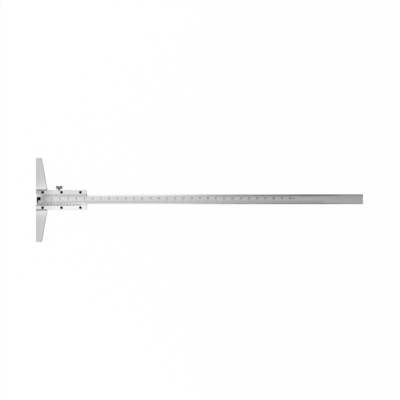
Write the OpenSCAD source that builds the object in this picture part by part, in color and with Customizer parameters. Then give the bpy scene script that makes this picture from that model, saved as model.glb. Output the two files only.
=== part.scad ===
// Vernier depth gauge, 0 to 300 mm. All sizes are in millimetres.
// The gauge lies on its back: the back of the foot is the plane Z = 0, and the scales face +Z.
// The measuring face of the foot is the plane X = 0, and the beam runs along +X.
// The middle of the foot is at Y = 0, and the lock screw is on the +Y side.

/* [Measuring foot] */
// Length of the foot from tip to tip
foot_len = 102; // [80:1:150]
// Depth of the foot, from its back to its scale side
foot_depth = 8; // [6:0.5:12]
// Height of the foot above its measuring face at the tips
foot_tip_h = 7.3; // [5:0.1:9]
// Foot left behind the two screws that hold it
foot_screw_margin = 5.8; // [4:0.1:9]
// Shoulder on each side of the frame before the foot slopes down
foot_shoulder = 1.5; // [0.5:0.1:4]
// Thickness of the web that runs behind the frame
foot_web = 2.5; // [2:0.1:3.5]
// Corner cut at each tip
foot_corner = 0.9; // [0.4:0.1:1.5]
// Chamfer along the edges on the scale side
foot_chamfer = 0.8; // [0.3:0.1:1.2]
// Chamfer along the edges of the frame's seat
seat_chamfer = 0.8; // [0.2:0.1:1]
// Gap between the foot and each side of the frame
seat_clear = 0.05; // [0.02:0.01:0.1]
// Depth of the relief round the beam in the measuring face
relief_depth = 0.8; // [0.4:0.1:1.5]

/* [Beam] */
// Length of the beam
beam_len = 395.4; // [300:0.1:500]
// Width of the beam
beam_w = 12; // [10:0.1:16]
// Thickness of the beam
beam_t = 3.5; // [3:0.1:5]
// How far the beam's tip lies inside the measuring face
tip_inside = 2.4; // [1:0.1:4]
// Width of the nib at the tip of the beam
nib_w = 4.9; // [3:0.1:6]
// Length of the nib
nib_len = 3.2; // [2:0.1:6]
// Width of the chamfer along each edge of the beam's scale side
beam_chamfer = 1.2; // [0.4:0.1:1.4]
// Height of that chamfer
beam_chamfer_h = 0.7; // [0.3:0.1:1.2]
// Chamfer along the back of the beam and at its end
beam_break = 0.4; // [0.2:0.1:0.6]

/* [Slider frame] */
// Length of the frame
frame_len = 62; // [50:1:90]
// Wall of the frame behind the beam
frame_back = 2.2; // [1.5:0.1:4]
// Wall between the beam's channel and the vernier screws
vernier_screw_in = 3.95; // [2:0.05:6]
// Wall between the spring's pocket and the guide screws
guide_screw_in = 1.6; // [1.4:0.1:3]
// From a row of screws to the side of the frame
screw_edge = 2.6; // [2.2:0.1:4]
// Corner cut at the rear end and chamfer along the back
frame_corner = 0.6; // [0.3:0.1:1]
// Running clearance between the beam and what guides it
slide_clear = 0.05; // [0.02:0.01:0.1]
// Room for the gib spring beside the beam
gib_room = 1.2; // [0.9:0.1:2]
// Frame left in front of and behind the spring's pocket
pocket_end = 5; // [3:0.5:9]

/* [Strips] */
// Thickness of the guide strip and of the vernier plate
strip_t = 1.8; // [1.5:0.1:2.5]
// How far the guide strip reaches over the beam
guide_lip = 3; // [1.8:0.1:4]
// How far the vernier plate reaches over the beam
vernier_lip = 1.9; // [1.2:0.1:3]
// Width of the bevel on the guide strip
guide_bevel = 3.7; // [2:0.1:4.5]
// Width of the bevel that carries the vernier
vernier_bevel = 3.8; // [2:0.1:4.5]
// Thickness left at the bevelled edges
strip_edge_t = 0.25; // [0.15:0.05:0.6]
// Chamfer along the other top edges of the strips
strip_chamfer = 0.4; // [0.1:0.1:0.5]

/* [Screws] */
// From each end of the frame to its first screw
screw_end = 8; // [6:0.5:10]
// Diameter of the screw threads
screw_d = 1.6; // [1.4:0.1:2]
// Diameter of the screw heads
screw_head_d = 3.2; // [2.4:0.1:3.4]
// Height of the screw heads
screw_head_h = 1.1; // [0.8:0.1:1.2]
// How far the screw heads stand proud of the strips
screw_proud = 0.1; // [0:0.05:0.3]
// Width of the slot in a screw head
screw_slot_w = 0.4; // [0.3:0.05:0.6]
// Depth of the slot in a screw head
screw_slot_d = 0.45; // [0.3:0.05:0.6]
// Thread of a short screw inside the frame
screw_grip = 3.5; // [2.5:0.1:4]
// Metal left behind the holes of the long screws in the foot
foot_skin = 0.4; // [0.2:0.1:0.8]
// How much deeper than its screw a threaded hole is
drill_over = 0.3; // [0.1:0.1:0.5]
// Gap round a screw's thread
thread_clear = 0.03; // [0.01:0.01:0.06]
// Gap round a screw's head
head_clear = 0.1; // [0.05:0.05:0.2]
// Where the slots of the guide screws came to rest, from front to rear, in degrees
guide_turns = [20, 65, -35]; // [-90:5:90]
// Where the slots of the vernier screws came to rest
vernier_turns = [-10, 80, 40]; // [-90:5:90]

/* [Lock] */
// Metal between the lock screw's hole and the middle guide screw
lock_wall = 0.75; // [0.4:0.05:8]
// Diameter of the lock screw's thread
lock_d = 2.5; // [2:0.1:2.8]
// Pitch of the lock screw's thread
lock_pitch = 0.45; // [0.35:0.05:0.5]
// From the side of the frame to the knurled head
lock_stand = 1.5; // [1.2:0.1:4]
// Diameter of the knurled head
lock_head_d = 8; // [6:0.1:11]
// Height of the knurled head
lock_head_h = 3.6; // [2.5:0.1:5]
// Chamfer under the knurled head
lock_under = 0.4; // [0.2:0.1:1.2]
// Chamfer over the knurled head
lock_over = 0.5; // [0.2:0.1:0.8]
// Width of the slot in the knurled head
lock_slot_w = 1; // [0.8:0.1:2]
// Depth of the slot in the knurled head
lock_slot_d = 0.9; // [0.6:0.1:1.5]
// Number of grooves in the knurling
knurl_count = 32; // [20:1:48]
// Depth of a groove in the knurling
knurl_depth = 0.25; // [0.1:0.05:0.4]
// Diameter of the brass pad under the lock screw
pad_d = 2.2; // [1.6:0.1:2.4]
// Thickness of the brass pad
pad_t = 1.2; // [1:0.1:2]

/* [Gib spring] */
// Thickness of the spring strip
leaf_t = 0.35; // [0.2:0.05:0.5]
// How much lower than the beam the spring strip is
leaf_under = 0.7; // [0.4:0.1:1]
// Length of the part that lies along the beam
leaf_flat = 12; // [8:0.5:20]
// Length of each end that lies along the pocket
leaf_foot = 4; // [2:0.5:8]
// Gap at each end of the spring in its pocket
leaf_end_clear = 0.4; // [0.2:0.1:1]

/* [Hidden] */
// Segments of a full circle, and how far a cut runs past the face that it opens
$fn = 64;
past = 1;
// Across the instrument: the frame's width lies evenly about the middle of the foot
frame_w = screw_edge + vernier_screw_in + slide_clear + beam_w + gib_room + guide_screw_in
    + screw_edge;
side_lo = -frame_w / 2;
side_hi = frame_w / 2;
vernier_screw_y = side_lo + screw_edge;
guide_screw_y = side_hi - screw_edge;
channel_lo = vernier_screw_y + vernier_screw_in;
beam_lo = channel_lo + slide_clear;
beam_hi = beam_lo + beam_w;
channel_hi = beam_hi + slide_clear;
pocket_hi = beam_hi + gib_room;
guide_edge = beam_hi - guide_lip;
vernier_edge = beam_lo + vernier_lip;
// Through the thickness, from the back of the foot to the top of the strips
channel_z = foot_web + frame_back;
beam_z = channel_z + slide_clear;
beam_top = beam_z + beam_t;
strip_z = beam_top + slide_clear;
strip_top = strip_z + strip_t;
head_seat_z = strip_top + screw_proud - screw_head_h;
lock_z = beam_z + beam_t / 2;
// Along the beam
foot_root_h = screw_end + foot_screw_margin;
screw_front_x = screw_end;
screw_middle_x = frame_len / 2;
screw_rear_x = frame_len - screw_end;
lock_x = screw_middle_x - screw_d / 2 - lock_wall - lock_d / 2;
// The lock screw rests half a turn short of pressing the pad on the spring
leaf_out = beam_hi + leaf_t;
pad_lo = leaf_out + lock_pitch / 2;
stem_lo = pad_lo + pad_t;
lock_head_lo = side_hi + lock_stand;

// A chamfer cut along the level edge from a to b. A roll of 45 is for an upper edge with the
// body on the left of a to b, -45 for one on the right, and 135 and -135 for the lower edges.
module edge_cut(a, b, size, roll) {
    reach = 2 * size;
    translate(a)
        rotate([0, 0, atan2(b.y - a.y, b.x - a.x)])
            rotate([roll, 0, 0])
                translate([-reach, -reach, -size / sqrt(2)])
                    cube([norm(b - a) + 2 * reach, 2 * reach, reach]);
}

// A chamfer cut along the upright edge at x and y, whose outer side faces the heading
module corner_cut(x, y, z_lo, z_hi, size, heading) {
    reach = 2 * size;
    translate([x, y, z_lo - past])
        rotate([0, 0, heading])
            translate([-size / sqrt(2), -reach, 0])
                cube([reach, 2 * reach, z_hi - z_lo + 2 * past]);
}

// The outline of a section across the instrument, drawn out along the beam's direction
module along_beam(length) {
    rotate([90, 0, 90]) linear_extrude(height = length) children();
}

// An upright hole or shank
module upright(x, y, z_lo, z_hi, d) {
    translate([x, y, z_lo]) cylinder(d = d, h = z_hi - z_lo);
}

// The relief that keeps the measuring face clear of the beam
module relief_cut() {
    translate([-past, channel_lo, -past])
        cube([past + relief_depth, channel_hi - channel_lo, strip_top + 2 * past]);
}

// The foot seen from the scale side, with its cut corners
module foot_outline() {
    tip = foot_len / 2;
    root = frame_w / 2 + foot_shoulder;
    polygon([[0, -tip], [foot_tip_h - foot_corner, -tip], [foot_tip_h, -tip + foot_corner],
        [foot_root_h, -root], [foot_root_h, root],
        [foot_tip_h, tip - foot_corner], [foot_tip_h - foot_corner, tip], [0, tip]]);
}

// Chamfers along the upper edges of one wing of the foot
module wing_edge_cuts(side) {
    tip = side * foot_len / 2;
    seat_y = side * (frame_w / 2 + seat_clear);
    points = [[foot_root_h, seat_y, foot_depth],
        [foot_root_h, side * (frame_w / 2 + foot_shoulder), foot_depth],
        [foot_tip_h, tip - side * foot_corner, foot_depth],
        [foot_tip_h - foot_corner, tip, foot_depth]];
    for (i = [0 : len(points) - 2])
        edge_cut(points[i], points[i + 1], foot_chamfer, 45 * side);
    edge_cut([0, seat_y, foot_depth], [foot_root_h, seat_y, foot_depth], seat_chamfer, 45 * side);
}

module measuring_foot() {
    seat_half = frame_w / 2 + seat_clear;
    color([0.80, 0.80, 0.79])
        difference() {
            linear_extrude(height = foot_depth) foot_outline();
            translate([-past, -seat_half, foot_web])
                cube([foot_root_h + 2 * past, 2 * seat_half, foot_depth]);
            for (side = [-1, 1]) wing_edge_cuts(side);
            for (y = [vernier_screw_y, guide_screw_y])
                upright(screw_front_x, y, foot_skin, foot_web + past, screw_d + 2 * thread_clear);
            relief_cut();
        }
}

module beam() {
    far = tip_inside + beam_len;
    color([0.74, 0.74, 0.73])
        difference() {
            translate([tip_inside, 0, 0])
                along_beam(beam_len)
                    polygon([[beam_lo + beam_break, beam_z], [beam_hi - beam_break, beam_z],
                        [beam_hi, beam_z + beam_break], [beam_hi, beam_top - beam_chamfer_h],
                        [beam_hi - beam_chamfer, beam_top], [beam_lo + beam_chamfer, beam_top],
                        [beam_lo, beam_top - beam_chamfer_h], [beam_lo, beam_z + beam_break]]);
            translate([tip_inside - past, beam_lo + nib_w, beam_z - past])
                cube([past + nib_len, beam_w, beam_t + 2 * past]);
            edge_cut([far, beam_lo, beam_top], [far, beam_hi, beam_top], beam_break, 45);
            edge_cut([far, beam_lo, beam_z], [far, beam_hi, beam_z], beam_break, 135);
        }
}

// Holes for one row of three screws, the front one right through to the foot
module frame_screw_holes(y) {
    d = screw_d + 2 * thread_clear;
    upright(screw_front_x, y, foot_web - past, strip_z + past, d);
    for (x = [screw_middle_x, screw_rear_x])
        upright(x, y, strip_z - screw_grip - drill_over, strip_z + past, d);
}

module slider_frame() {
    pocket_len = frame_len - 2 * pocket_end;
    color([0.83, 0.83, 0.82])
        difference() {
            along_beam(frame_len)
                polygon([[side_lo + frame_corner, foot_web], [side_hi - frame_corner, foot_web],
                    [side_hi, foot_web + frame_corner], [side_hi, strip_z],
                    [channel_hi, strip_z], [channel_hi, channel_z],
                    [channel_lo, channel_z], [channel_lo, strip_z],
                    [side_lo, strip_z], [side_lo, foot_web + frame_corner]]);
            translate([pocket_end, beam_lo, channel_z])
                cube([pocket_len, pocket_hi - beam_lo, beam_t + strip_t]);
            translate([lock_x, beam_hi, lock_z])
                rotate([-90, 0, 0])
                    cylinder(d = lock_d + 2 * thread_clear, h = side_hi - beam_hi + past);
            for (y = [vernier_screw_y, guide_screw_y]) frame_screw_holes(y);
            for (side = [-1, 1])
                corner_cut(frame_len, side * frame_w / 2, foot_web, strip_z, frame_corner, 45 * side);
            edge_cut([frame_len, side_lo, foot_web], [frame_len, side_hi, foot_web], frame_corner, 135);
            relief_cut();
        }
}

// One strip: edge is where its thin edge lies over the beam, and side is the frame's side beyond it
module strip(edge, side, bevel, screw_y) {
    out = sign(side);
    color([0.86, 0.86, 0.85])
        difference() {
            along_beam(frame_len)
                polygon([[edge, strip_z], [side, strip_z], [side, strip_top - strip_chamfer],
                    [side - out * strip_chamfer, strip_top],
                    [edge + out * bevel, strip_top], [edge, strip_z + strip_edge_t]]);
            for (x = [screw_front_x, screw_middle_x, screw_rear_x]) {
                upright(x, screw_y, strip_z - past, strip_top + past, screw_d + 2 * thread_clear);
                upright(x, screw_y, head_seat_z, strip_top + past, screw_head_d + 2 * head_clear);
            }
            corner_cut(frame_len, side, strip_z, strip_top, frame_corner, 45 * out);
            edge_cut([frame_len, side_lo, strip_top], [frame_len, side_hi, strip_top],
                strip_chamfer, 45);
            relief_cut();
        }
}

module upper_guide_strip() {
    strip(guide_edge, side_hi, guide_bevel, guide_screw_y);
}

module vernier_plate() {
    strip(vernier_edge, side_lo, vernier_bevel, vernier_screw_y);
}

// A slotted screw whose thread ends at the height tip_z, with its slot turned by turn
module screw(x, y, tip_z, turn) {
    color([0.12, 0.12, 0.13])
        difference() {
            union() {
                upright(x, y, tip_z, head_seat_z + screw_head_h / 2, screw_d);
                upright(x, y, head_seat_z, head_seat_z + screw_head_h, screw_head_d);
            }
            translate([x, y, head_seat_z + screw_head_h])
                rotate([0, 0, turn])
                    cube([screw_head_d + past, screw_slot_w, 2 * screw_slot_d], center = true);
        }
}

// The front screws reach through the frame into the foot, and the others end in the frame
module long_screw(y, turn) {
    screw(screw_front_x, y, foot_skin + drill_over, turn);
}

module short_screw(x, y, turn) {
    screw(x, y, strip_z - screw_grip, turn);
}

module gib_spring() {
    x_lo = pocket_end + leaf_end_clear;
    x_hi = frame_len - pocket_end - leaf_end_clear;
    flat_lo = lock_x - leaf_flat / 2;
    flat_hi = lock_x + leaf_flat / 2;
    // The side of the strip that faces the frame, moved by t towards the beam
    function leaf_line(t) = [[x_lo, pocket_hi - t], [x_lo + leaf_foot, pocket_hi - t],
        [flat_lo, leaf_out - t], [flat_hi, leaf_out - t],
        [x_hi - leaf_foot, pocket_hi - t], [x_hi, pocket_hi - t]];
    inner = leaf_line(leaf_t);
    color([0.72, 0.55, 0.30])
        translate([0, 0, channel_z])
            linear_extrude(height = beam_t - leaf_under)
                polygon(concat(leaf_line(0), [for (i = [len(inner) - 1 : -1 : 0]) inner[i]]));
}

// A cylinder along +Y on the lock screw's axis
module lock_round(y_lo, y_hi, d1, d2) {
    translate([lock_x, y_lo, lock_z]) rotate([-90, 0, 0]) cylinder(d1 = d1, d2 = d2, h = y_hi - y_lo);
}

module lock_pad() {
    color([0.75, 0.60, 0.30]) lock_round(pad_lo, stem_lo, pad_d, pad_d);
}

// One groove of the knurling, turned to its place round the head
module knurl_groove(turn) {
    side = knurl_depth * sqrt(2);
    translate([lock_x, lock_head_lo - past, lock_z])
        rotate([0, turn, 0])
            translate([lock_head_d / 2, 0, 0])
                rotate([0, 45, 0])
                    translate([-side / 2, 0, -side / 2])
                        cube([side, lock_head_h + 2 * past, side]);
}

module lock_screw() {
    top = lock_head_lo + lock_head_h;
    color([0.45, 0.45, 0.46])
        difference() {
            union() {
                lock_round(stem_lo, lock_head_lo + lock_head_h / 2, lock_d, lock_d);
                lock_round(lock_head_lo, lock_head_lo + lock_under,
                    lock_head_d - 2 * lock_under, lock_head_d);
                lock_round(lock_head_lo + lock_under, top - lock_over, lock_head_d, lock_head_d);
                lock_round(top - lock_over, top, lock_head_d, lock_head_d - 2 * lock_over);
            }
            for (i = [0 : knurl_count - 1]) knurl_groove(i * 360 / knurl_count);
            translate([lock_x, top, lock_z])
                cube([lock_slot_w, 2 * lock_slot_d, lock_head_d + past], center = true);
        }
}

beam();
measuring_foot();
slider_frame();
upper_guide_strip();
vernier_plate();
long_screw(guide_screw_y, guide_turns[0]);  // guide_screw_front
short_screw(screw_middle_x, guide_screw_y, guide_turns[1]);  // guide_screw_middle
short_screw(screw_rear_x, guide_screw_y, guide_turns[2]);  // guide_screw_rear
long_screw(vernier_screw_y, vernier_turns[0]);  // vernier_screw_front
short_screw(screw_middle_x, vernier_screw_y, vernier_turns[1]);  // vernier_screw_middle
short_screw(screw_rear_x, vernier_screw_y, vernier_turns[2]);  // vernier_screw_rear
gib_spring();
lock_pad();
lock_screw();
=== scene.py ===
# Dresses the depth gauge: finishes for its metals, the scales, a white table and studio light.
import math
import bpy
import bmesh
from mathutils import Matrix, Vector


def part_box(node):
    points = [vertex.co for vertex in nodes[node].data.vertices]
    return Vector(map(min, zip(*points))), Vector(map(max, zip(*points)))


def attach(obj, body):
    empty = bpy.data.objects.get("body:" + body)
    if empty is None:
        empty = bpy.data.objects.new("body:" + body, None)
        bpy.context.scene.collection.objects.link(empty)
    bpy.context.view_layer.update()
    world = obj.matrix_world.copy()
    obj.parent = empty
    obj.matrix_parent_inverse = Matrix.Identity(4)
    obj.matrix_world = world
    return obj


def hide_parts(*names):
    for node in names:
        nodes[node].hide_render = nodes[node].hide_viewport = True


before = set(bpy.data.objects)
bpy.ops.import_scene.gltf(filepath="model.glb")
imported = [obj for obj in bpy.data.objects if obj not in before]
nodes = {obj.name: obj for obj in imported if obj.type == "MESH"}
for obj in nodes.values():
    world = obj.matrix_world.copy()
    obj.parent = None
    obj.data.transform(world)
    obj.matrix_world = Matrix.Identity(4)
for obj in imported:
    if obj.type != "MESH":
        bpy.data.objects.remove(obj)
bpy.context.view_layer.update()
scene = bpy.context.scene
# Blender works in metres, and a length that is written in mm is multiplied by this
MM = 0.001


# ---- Where things lie, read off the solids or repeated from them, in metres ----

beam_low, beam_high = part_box("beam")
plate_low, plate_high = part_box("vernier_plate")
lock_low, lock_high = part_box("lock_screw")
foot_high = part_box("measuring_foot")[1]
frame_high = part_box("slider_frame")[1]
guide_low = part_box("upper_guide_strip")[0]
# How wide the beam's chamfers and the vernier plate's bevel are, seen from above, and how thick
# the plate is where the bevel ends
beam_chamfer = 1.2 * MM
plate_bevel = 3.8 * MM
plate_edge = 0.25 * MM
# The radius of the lock screw's stem, its thread's depth and pitch, and the underside of its head
stem_radius = 1.25 * MM
thread_depth = 0.27 * MM
thread_pitch = 0.45 * MM
lock_head_low = 13.5 * MM
# The zero lines lie this far behind the beam's tip and the measuring face
zero_setback = 6.7 * MM


# ---- Nodes, metals and marks ----

def linear(code):
    """A colour written as sRGB hex, in Blender's linear values."""
    parts = [int(code[i:i + 2], 16) / 255 for i in (1, 3, 5)]
    return tuple(c / 12.92 if c <= 0.04045 else ((c + 0.055) / 1.055) ** 2.4 for c in parts) + (1,)


def add(tree, kind, inputs, **settings):
    """Adds a node and gives back its outputs. An input takes a value, or the socket that feeds
    it. A Mix node's colours are its inputs 6 and 7 and its output 2. A Map Range node takes its
    input 0 from the range of inputs 1 and 2 to that of inputs 3 and 4."""
    made = tree.nodes.new(kind)
    for name, value in settings.items():
        setattr(made, name, value)
    for name, value in inputs.items():
        if isinstance(value, bpy.types.NodeSocket):
            tree.links.new(value, made.inputs[name])
        else:
            made.inputs[name].default_value = value
    return made.outputs


# How far round the edges are broken, how much the gloss varies, and a metal worn bare
edge_break = 0.15 * MM
gloss_spread = 0.05
bare_steel = "#e4e4e4"


def metal(name, dark, light, grain, cloud, rough, depth, metallic=1.0, worn=0.3):
    """A finish of two patterns, whose marks measure grain and cloud in mm along x, y and z. They
    mix a dark and a light colour, and the grain is also depth mm deep and changes the gloss.
    Where edges are broken, a share worn of their colour is rubbed to bare steel."""
    material = bpy.data.materials.new(name)
    material.use_nodes = True
    tree = material.node_tree
    shader = tree.nodes["Principled BSDF"].inputs
    shader["Metallic"].default_value = metallic
    place = add(tree, "ShaderNodeTexCoord", {})["Object"]
    marks = []
    for size in (grain, cloud):
        per_metre = [1 / (s * MM) for s in size]
        moved = add(tree, "ShaderNodeMapping", {"Vector": place, "Scale": per_metre})[0]
        noise = add(tree, "ShaderNodeTexNoise", {"Vector": moved, "Scale": 1.0, "Detail": 2.0})
        marks.append(noise[0])
    both = add(tree, "ShaderNodeMix", {0: 0.5, 2: marks[0], 3: marks[1]})[0]
    tone = add(tree, "ShaderNodeMapRange", {0: both, 1: 0.35, 2: 0.65})[0]
    colours = {0: tone, 6: linear(dark), 7: linear(light)}
    whole = add(tree, "ShaderNodeMix", colours, data_type="RGBA")[2]
    soft = add(tree, "ShaderNodeBevel", {"Radius": edge_break}, samples=6)[0]
    flat = add(tree, "ShaderNodeNewGeometry", {})["Normal"]
    match = add(tree, "ShaderNodeVectorMath", {0: soft, 1: flat}, operation="DOT_PRODUCT")["Value"]
    edge = add(tree, "ShaderNodeMapRange", {0: match, 1: 0.995, 2: 0.9, 3: 0.0, 4: worn})[0]
    colours = {0: edge, 6: whole, 7: linear(bare_steel)}
    rubbed = add(tree, "ShaderNodeMix", colours, data_type="RGBA")[2]
    least, most = rough - gloss_spread, rough + gloss_spread
    gloss = add(tree, "ShaderNodeMapRange", {0: marks[0], 1: 0.3, 2: 0.7, 3: least, 4: most})[0]
    relief = {"Distance": depth * MM, "Height": marks[0], "Normal": soft}
    bump = add(tree, "ShaderNodeBump", relief)[0]
    tree.links.new(rubbed, shader["Base Color"])
    tree.links.new(gloss, shader["Roughness"])
    tree.links.new(bump, shader["Normal"])
    return material


ANYWHERE = (-1000, 1000, 1)


# Used to paint highlights, reflections and shade into a finish, and to tint it in places
def stain(material, code, share, x=ANYWHERE, y=ANYWHERE, z=ANYWHERE):
    """Mixes a share of a colour into a finish inside a box, and lets it fade out round the box.
    Each axis takes from where to where the box goes, and over what width it fades, in mm."""
    low, high, fade = ([v * MM for v in row] for row in zip(x, y, z))
    tree = material.node_tree
    shader = tree.nodes["Principled BSDF"].inputs
    place = add(tree, "ShaderNodeTexCoord", {})["Object"]
    under = add(tree, "ShaderNodeVectorMath", {0: low, 1: place}, operation="SUBTRACT")[0]
    over = add(tree, "ShaderNodeVectorMath", {0: place, 1: high}, operation="SUBTRACT")[0]
    most = add(tree, "ShaderNodeVectorMath", {0: under, 1: over}, operation="MAXIMUM")[0]
    outside = add(tree, "ShaderNodeVectorMath", {0: most, 1: (0, 0, 0)}, operation="MAXIMUM")[0]
    faded = add(tree, "ShaderNodeVectorMath", {0: outside, 1: fade}, operation="DIVIDE")[0]
    away = add(tree, "ShaderNodeVectorMath", {0: faded}, operation="LENGTH")["Value"]
    amount = add(tree, "ShaderNodeMapRange", {0: away, 1: 0.0, 2: 1.0, 3: share, 4: 0.0})[0]
    before = shader["Base Color"].links[0].from_socket
    colours = {0: amount, 6: before, 7: linear(code)}
    after = add(tree, "ShaderNodeMix", colours, data_type="RGBA")[2]
    tree.links.new(after, shader["Base Color"])


# ---- The beam ----

# Stainless steel, ground lengthwise and lapped to a satin: pale, cool, with streaks along x.
# Grinding lines are near 0.05 mm apart. They are drawn at 0.3 mm, with bands of 2 mm, to show
beam_steel = metal("stainless_ground_lengthwise", "#cccccc", "#d8d8d8",
                   grain=(90, 0.3, 0.3), cloud=(300, 2, 2), rough=0.3, depth=0.002)

# Painted shade darkens the beam near the foot
stain(beam_steel, "#929292", 0.65, x=(0, 10, 14))

# Where the beam's far end is, and where its face ends at its two chamfers, in mm
far_end = beam_high.x / MM
face_top = (beam_high.y - beam_chamfer) / MM
face_bottom = (beam_low.y + beam_chamfer) / MM

# Painted reflection and painted shade lie along the face's upper rim and its chamfer: bright near
# the head, dark further on, and paler again at the far end. A darker band runs on the face just
# below the rim from 240 to 335 mm
rim_low = face_top - 0.55
rim = (rim_low, face_top, 0.1)
rim_and_chamfer = (rim_low, beam_high.y / MM, 0.1)
stain(beam_steel, "#ffffff", 0.6, x=(24, 70, 190), y=rim)
stain(beam_steel, "#7c7c7c", 0.6, x=(265, far_end, 55), y=rim_and_chamfer)
stain(beam_steel, "#dadada", 0.85, x=(375, far_end, 20), y=rim_and_chamfer)
stain(beam_steel, "#8a8a8a", 0.34, x=(240, 335, 110), y=(face_top - 1.9, face_top - 0.6, 1))
stain(beam_steel, "#5a5a5a", 0.5, x=(232, 328, 50), y=rim)

# The upper chamfer is painted bright from 24 to 280 mm, as a painted reflection
stain(beam_steel, "#ffffff", 0.9, x=(24, 280, 50), y=(face_top + 0.1, beam_high.y / MM, 0.1))

# Painted reflection on the lower chamfer: bright along its outer half, and in places along its
# inner one, with painted shade on the inner half from 305 to 350 mm
halfway = face_bottom - 0.7
inner_half = (halfway, face_bottom, 0.1)
stain(beam_steel, "#ffffff", 0.95, x=(24, far_end, 20), y=(beam_low.y / MM, halfway, 0.1))
stain(beam_steel, "#ffffff", 0.5, x=(75, 215, 20), y=inner_half)
stain(beam_steel, "#5a5a5a", 0.5, x=(305, 350, 35), y=(halfway + 0.1, face_bottom, 0.1))
stain(beam_steel, "#ffffff", 0.8, x=(378, far_end, 15), y=inner_half)


# ---- The foot and the frame ----

# Hardened foot, ground along its length: a shade greyer, with streaks along y
foot_steel = metal("hardened_steel_ground", "#d5d5d5", "#e0e0e0",
                   grain=(0.3, 90, 0.3), cloud=(2, 300, 2), rough=0.32, depth=0.002)
# Where its tips and its back are, and the frame's sides, in mm
foot_tip = foot_high.y / MM
foot_back = foot_high.x / MM
frame_side = frame_high.y / MM
# Painted shade darkens it towards its measuring edge, and it is darker towards its tips
stain(foot_steel, "#b0b0b0", 0.5, x=(0, 1, 14))
for tip in ((26, foot_tip, 14), (-foot_tip, -26, 14)):
    stain(foot_steel, "#b0b0b0", 0.4, y=tip)
# Beside the frame it is lighter
for root in ((frame_side, frame_side + 1, 9), (-frame_side - 1, -frame_side, 9)):
    stain(foot_steel, "#f2f2f2", 0.34, x=(3, foot_back, 9), y=root)

# Milled and ground frame, seen only at its ends and sides
frame_steel = metal("milled_frame_steel", "#c8c8c8", "#d5d5d5",
                    grain=(30, 0.4, 0.4), cloud=(60, 3, 3), rough=0.33, depth=0.003)
# The inside of its channel is painted near black and dull: painted shade in the recess
channel_width = (-5.5, 7.85, 0.02)
channel_depth = (4.65, 8.28, 0.02)
stain(frame_steel, "#1d1d1d", 1.0, y=channel_width, z=channel_depth)


# ---- The two strips ----

# Satin chrome on bead-blasted strips: even and silvery. Its pits are drawn at 0.25 mm, not 0.05
guide_chrome = metal("satin_chrome_guide", "#d4d4d4", "#dfdfdf",
                     grain=(0.25,) * 3, cloud=(9, 3, 3), rough=0.34, depth=0.003)
plate_chrome = metal("satin_chrome_vernier", "#e8e8e8", "#f1f1f1",
                     grain=(0.25,) * 3, cloud=(9, 3, 3), rough=0.34, depth=0.003)

# Where the strips end, from where to where the guide's bevel goes, where the vernier's ends, and
# what lies well on that bevel and well off it, in mm
strip_end = plate_high.x / MM
guide_edge = guide_low.y / MM
guide_bevel_end = 7.2
bevel_end = (plate_high.y - plate_bevel) / MM
on_bevel = (bevel_end + 0.1, plate_high.y / MM)
on_flat = (plate_low.y / MM, bevel_end - 0.1)

# Painted shade darkens the seams where the strips are let into the foot
stain(guide_chrome, "#767676", 0.4, x=(0, 13, 0.5), y=(frame_side - 0.6, frame_side, 0.5))
stain(plate_chrome, "#767676", 0.6, x=(0, 13, 0.5), y=(-frame_side, 0.6 - frame_side, 0.5))
# Painted shade darkens them near the foot too
stain(guide_chrome, "#8a8a8a", 0.6, x=(0, 8, 14))
stain(plate_chrome, "#8a8a8a", 0.6, x=(0, 9, 14), y=(*on_bevel, 0.3))
stain(plate_chrome, "#8a8a8a", 0.3, x=(0, 5, 22), y=(*on_flat, 0.2))
# The front end of the guide's bevel is painted bright, as a painted highlight
stain(guide_chrome, "#f0f0f0", 0.8, x=(0, 4, 6), y=(guide_edge, guide_bevel_end - 0.3, 0.4))
# The vernier's bevel is painted duller than the flat as painted shade, and brighter towards its
# rear end as a painted highlight
stain(plate_chrome, "#b4b4b4", 0.55, x=(0, 8, 45), y=(*on_bevel, 0.2))
stain(plate_chrome, "#fbfbfb", 0.9, x=(50, strip_end, 14), y=(*on_bevel, 0.2))
# The strips are duller at their rear ends
sawn = (strip_end - 0.6, strip_end, 0.3)
stain(guide_chrome, "#909090", 0.6, x=sawn, y=(guide_edge, guide_bevel_end, 0.3))
stain(plate_chrome, "#909090", 0.45, x=sawn)


# ---- The screws, the spring, the pad and the scales' filling ----

# Steel blackened in hot salts and oiled: near black, with a faint sheen and brownish specks
screw_black = metal("black_oxide_screws", "#131314", "#232124",
                    grain=(0.2,) * 3, cloud=(1, 1, 1), rough=0.42, depth=0.004, worn=0.1)
# Knurled steel, darkened the same way and rubbed to grey by fingers; its stem below the head is
# coloured near black
knurled_grey = metal("rubbed_knurled_steel", "#868686", "#999999",
                     grain=(0.15,) * 3, cloud=(1, 1, 1), rough=0.4, depth=0.004, worn=0.15)
stain(knurled_grey, "#1a1a1a", 0.97, y=(lock_low.y / MM, lock_head_low / MM - 0.2, 0.15))
# Spring bronze as it was rolled, and brass as it was turned
leaf_bronze = metal("rolled_spring_bronze", "#b08a52", "#c59d62",
                    grain=(20, 0.2, 0.2), cloud=(30, 1, 1), rough=0.3, depth=0.002)
pad_brass = metal("turned_brass", "#c09a4e", "#d2ac60",
                  grain=(0.3, 0.1, 0.3), cloud=(1, 1, 1), rough=0.28, depth=0.002)
# Black enamel rubbed into the cut lines: matt, and a little thin in places
scale_enamel = metal("black_scale_enamel", "#101011", "#262626",
                     grain=(0.4,) * 3, cloud=(2, 1, 1), rough=0.55, depth=0.001,
                     metallic=0.0, worn=0.0)

finishes = {
    "beam": beam_steel, "measuring_foot": foot_steel, "slider_frame": frame_steel,
    "upper_guide_strip": guide_chrome, "vernier_plate": plate_chrome,
    "gib_spring": leaf_bronze, "lock_pad": pad_brass, "lock_screw": knurled_grey}
for row in ("guide", "vernier"):
    for spot in ("front", "middle", "rear"):
        finishes[f"{row}_screw_{spot}"] = screw_black
for name, material in finishes.items():
    mesh = nodes[name].data
    mesh.materials.clear()
    mesh.materials.append(material)


# ---- The lock screw's thread ----

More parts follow.
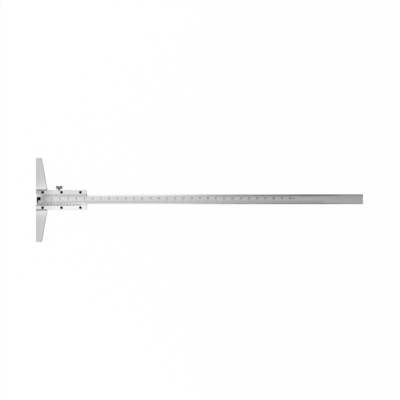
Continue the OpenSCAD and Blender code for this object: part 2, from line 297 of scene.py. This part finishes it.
def finish_piece(bm, name, material, body):
    """Makes a piece of a bmesh whose points are in place, and lets it ride on a body."""
    mesh = bpy.data.meshes.new(name)
    bm.to_mesh(mesh)
    bm.free()
    mesh.materials.append(material)
    piece = bpy.data.objects.new(name, mesh)
    scene.collection.objects.link(piece)
    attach(piece, body)
    return piece


def threaded_screw():
    """The lock screw with its thread cut: a copy of the solid whose plain stem is taken off and
    extruded anew in rings, whose points follow the V grooves of a right-hand helix."""
    bm = bmesh.new()
    bm.from_mesh(nodes["lock_screw"].data)
    bmesh.ops.remove_doubles(bm, verts=bm.verts, dist=1e-7)
    stem = [f for f in bm.faces
            if abs(f.normal.y) < 0.5 and f.calc_center_median().y < lock_head_low]
    bmesh.ops.delete(bm, geom=stem, context="FACES")
    middle = (lock_low + lock_high) / 2
    rims = [e for e in bm.edges if e.is_boundary]
    ring = [e for e in rims if e.verts[0].co.y < middle.y]
    head_rim = [e for e in rims if e.verts[0].co.y > middle.y]
    low, high = ring[0].verts[0].co.y, head_rim[0].verts[0].co.y
    rings_a_turn = 12
    count = round((high - low) / thread_pitch * rings_a_turn)
    for i in range(1, count):
        y = low + (high - low) * i / count
        # The groove has its full depth from one turn past either end
        cut = thread_depth * min(1, (y - low) / thread_pitch, (high - y) / thread_pitch)
        grown = bmesh.ops.extrude_edge_only(bm, edges=ring)["geom"]
        ring = [g for g in grown if isinstance(g, bmesh.types.BMEdge) and g.is_boundary]
        for point in (g for g in grown if isinstance(g, bmesh.types.BMVert)):
            way = Vector((point.co.x - middle.x, 0, point.co.z - middle.z)).normalized()
            turns = y / thread_pitch - math.atan2(way.x, way.z) / math.tau
            groove = 1 - 2 * abs(turns % 1 - 0.5)
            point.co = Vector((middle.x, y, middle.z)) + way * (stem_radius - cut * groove)
    bmesh.ops.bridge_loops(bm, edges=ring + head_rim)
    bmesh.ops.recalc_face_normals(bm, faces=bm.faces)
    return bm


piece = finish_piece(threaded_screw(), "lock_screw_threaded", knurled_grey,
                     "lock_screw")
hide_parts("lock_screw")


# ---- The scales, in mm, drawn on the plane z = 0 and laid on the metal by a matrix ----

# Filled lines and numbers stand this far out of the metal and reach as far into it
ink = 0.015
# The built-in face draws a digit this tall when its size is 1
digit_height = 0.73
# The beam's last line and last number, and how long a line is by the step that it falls on
last_line = 340
last_number = 30
line_lengths = {10: 4.6, 5: 3.6, 1: 2.9}
line_width = 0.16
centimetre_width = 0.2
# The vernier divides 39 mm by twenty. Every second line is longer and has a number, and all of
# them stop a little short of the thin edge
vernier_length = 39
vernier_divisions = 20
numbered_line = 1.9
plain_line = 1.3
edge_gap = 0.04


def cut_line(bm, x, y_from, y_to, width, surface):
    """A filled line across the scale."""
    size = Matrix.Diagonal((width * MM, (y_to - y_from) * MM, 2 * ink * MM, 1))
    middle = Matrix.Translation((x * MM, (y_from + y_to) / 2 * MM, 0))
    bmesh.ops.create_cube(bm, size=1, matrix=surface @ middle @ size)


def cut_words(bm, words, middle, height, bolder, surface):
    """A number in a plain upright face, centred on a point, as tall as height. Its strokes are
    widened by bolder on each side."""
    curve = bpy.data.curves.new("words", "FONT")
    curve.body = words
    curve.align_x, curve.align_y = "CENTER", "CENTER"
    curve.size = height * MM / digit_height
    curve.extrude = ink * MM
    curve.offset = bolder * MM
    curve.resolution_u = 2
    holder = bpy.data.objects.new("words", curve)
    mesh = bpy.data.meshes.new_from_object(holder)
    x, y = middle
    mesh.transform(surface @ Matrix.Translation((x * MM, y * MM, 0)))
    bm.from_mesh(mesh)
    bpy.data.objects.remove(holder)
    bpy.data.meshes.remove(mesh)
    bpy.data.curves.remove(curve)


def scale_beam():
    """A line for each mm, from the lower edge of the beam's face, and a number for each cm."""
    zero = (beam_low.x + zero_setback, beam_low.y + beam_chamfer, beam_high.z)
    surface = Matrix.Translation(zero)
    lines, numbers = bmesh.new(), bmesh.new()
    for i in range(last_line + 1):
        step = next(s for s in line_lengths if i % s == 0)
        width = centimetre_width if step == 10 else line_width
        cut_line(lines, i, 0, line_lengths[step], width, surface)
    for i in range(last_number + 1):
        cut_words(numbers, str(i), (10 * i, 6.0), height=2.3, bolder=0.035, surface=surface)
    behind = 10 * last_number + 4.2
    cut_words(numbers, "mm", (behind, 5.7), height=1.6, bolder=0.03, surface=surface)
    finish_piece(lines, "beam_scale_lines", scale_enamel, "beam")
    finish_piece(numbers, "beam_scale_numbers", scale_enamel, "beam")


def scale_vernier():
    """Lines from the vernier's thin edge up its bevel, and the numbers 0 to 10."""
    zero = (zero_setback, plate_high.y, plate_low.z + plate_edge)
    slope = math.atan2(plate_high.z - plate_low.z - plate_edge, plate_bevel)
    surface = Matrix.Translation(zero) @ Matrix.Rotation(-slope, 4, "X")
    lines, numbers = bmesh.new(), bmesh.new()
    for i in range(vernier_divisions + 1):
        x = vernier_length * i / vernier_divisions
        numbered = i % 2 == 0
        length = numbered_line if numbered else plain_line
        cut_line(lines, x, -length, -edge_gap, line_width, surface)
        if numbered:
            cut_words(numbers, str(i // 2), (x, -2.95), height=1.6, bolder=0.11, surface=surface)
    cut_words(numbers, "0.05 mm", (44.6, -2.4), height=1.4, bolder=0.07, surface=surface)
    finish_piece(lines, "vernier_lines", scale_enamel, "head")
    finish_piece(numbers, "vernier_numbers", scale_enamel, "head")


scale_beam()
scale_vernier()


# ---- The table and the room ----

def background_rays(tree):
    """Gives 1 for the rays that are to see a white background: the camera's own, and those that
    come to it by way of metal or glass."""
    rays = add(tree, "ShaderNodeLightPath", {})
    seen = rays["Is Camera Ray"]
    for other in ("Is Glossy Ray", "Is Transmission Ray"):
        seen = add(tree, "ShaderNodeMath", {0: seen, 1: rays[other]}, operation="MAXIMUM")[0]
    return seen


def matt_card():
    """Matt white card. The camera and mirror-like surfaces see it nearly white, and its shadow
    comes from its plain diffuse part."""
    material = bpy.data.materials.new("matt_white_card")
    material.use_nodes = True
    tree = material.node_tree
    shader = tree.nodes["Principled BSDF"]
    shader.inputs["Roughness"].default_value = 0.9
    place = add(tree, "ShaderNodeTexCoord", {})["Object"]
    fibres = add(tree, "ShaderNodeTexNoise", {"Vector": place, "Scale": 1 / (1.5 * MM)})[0]
    colours = {0: fibres, 6: linear("#f2f2f2"), 7: linear("#f6f6f6")}
    colour = add(tree, "ShaderNodeMix", colours, data_type="RGBA")[2]
    tree.links.new(colour, shader.inputs["Base Color"])
    rays = background_rays(tree)
    share = add(tree, "ShaderNodeMath", {0: rays, 1: 0.96}, operation="MULTIPLY")[0]
    glow = add(tree, "ShaderNodeEmission", {"Color": linear("#ffffff"), "Strength": 1.01})[0]
    mixed = add(tree, "ShaderNodeMixShader", {0: share, 1: shader.outputs[0], 2: glow})[0]
    tree.links.new(mixed, tree.nodes["Material Output"].inputs["Surface"])
    return material


def lay_table():
    """A table of 6 m, whose top lies a hair under the gauge's back, so that the two never share
    a plane."""
    bm = bmesh.new()
    top = Matrix.Translation((0, 0, -0.05 * MM))
    bmesh.ops.create_grid(bm, x_segments=1, y_segments=1, size=3, matrix=top)
    mesh = bpy.data.meshes.new("table")
    bm.to_mesh(mesh)
    bm.free()
    mesh.materials.append(matt_card())
    table = bpy.data.objects.new("table", mesh)
    scene.collection.objects.link(table)


def studio_room():
    """A grey room that gets darker towards both sides and low down, and less so towards -X. Below
    the horizon it is as white as the table, which so seems to have no edge."""
    world = bpy.data.worlds.new("studio_room")
    world.use_nodes = True
    tree = world.node_tree
    grey_level = 0.52
    way = add(tree, "ShaderNodeTexCoord", {})["Generated"]
    x, y, z = add(tree, "ShaderNodeSeparateXYZ", {0: way})
    across = add(tree, "ShaderNodeMath", {0: y}, operation="ABSOLUTE")[0]
    sides = {0: across, 1: 0.75, 2: 0.95, 3: grey_level, 4: 0.05}
    beside = add(tree, "ShaderNodeMapRange", sides)[0]
    low = add(tree, "ShaderNodeMapRange", {0: x, 1: -0.6, 2: 0.0, 3: 0.4, 4: 0.07})[0]
    above = add(tree, "ShaderNodeMapRange", {0: z, 1: 0.1, 2: 0.45, 3: low, 4: grey_level})[0]
    grey = add(tree, "ShaderNodeMath", {0: beside, 1: above}, operation="MINIMUM")[0]
    below = add(tree, "ShaderNodeMath", {0: z, 1: 0.0}, operation="LESS_THAN")[0]
    rays = background_rays(tree)
    white = add(tree, "ShaderNodeMath", {0: below, 1: rays}, operation="MULTIPLY")[0]
    seen = add(tree, "ShaderNodeMath", {0: grey, 1: white}, operation="MAXIMUM")[0]
    tree.links.new(seen, tree.nodes["Background"].inputs["Color"])
    return world


lay_table()
scene.world = studio_room()


# ---- Lamps and camera ----

def softbox(name, middle, target, width, height, radiance):
    """A soft rectangular lamp that faces its target. Radiance 1 looks white in a mirror."""
    lamp = bpy.data.lights.new(name, "AREA")
    lamp.shape = "RECTANGLE"
    lamp.size, lamp.size_y = width, height
    lamp.energy = radiance * math.pi * width * height
    made = bpy.data.objects.new(name, lamp)
    made.location = middle
    way = Vector(target) - Vector(middle)
    made.rotation_euler = way.to_track_quat("-Z", "Y").to_euler()
    made.visible_camera = False
    scene.collection.objects.link(made)


# Over the foot, so that the beam's face falls off to grey along its length
softbox("over_foot", (-0.15, 0.0, 0.7), (-0.15, 0.0, 0.0), width=0.75, height=1.2, radiance=0.65)
# Low on each side of the foot, so that the beam's chamfers are white there and dark further on
for name, y in (("left_side", 0.4), ("right_side", -0.4)):
    softbox(name, (-0.1, y, 0.155), (-0.1, 0.0, 0.0), width=0.6, height=0.23, radiance=0.95)

# Straight down on the scales. The photograph is 400 pixels wide, at 1.2165 mm a pixel, and was
# taken a twentieth of a degree out of true
photo_width = 400
photo_pixel = 1.2165 * MM
photo_middle = (199.5 * MM, -0.18 * MM)
photo_turn = math.radians(-0.05)
camera = bpy.data.cameras.new("camera")
camera.type = "ORTHO"
camera.ortho_scale = photo_width * photo_pixel
camera_object = bpy.data.objects.new("camera", camera)
camera_object.location = (*photo_middle, 1.5)
camera_object.rotation_euler = (0, 0, photo_turn)
scene.collection.objects.link(camera_object)
scene.camera = camera_object
scene.view_settings.view_transform = "Standard"
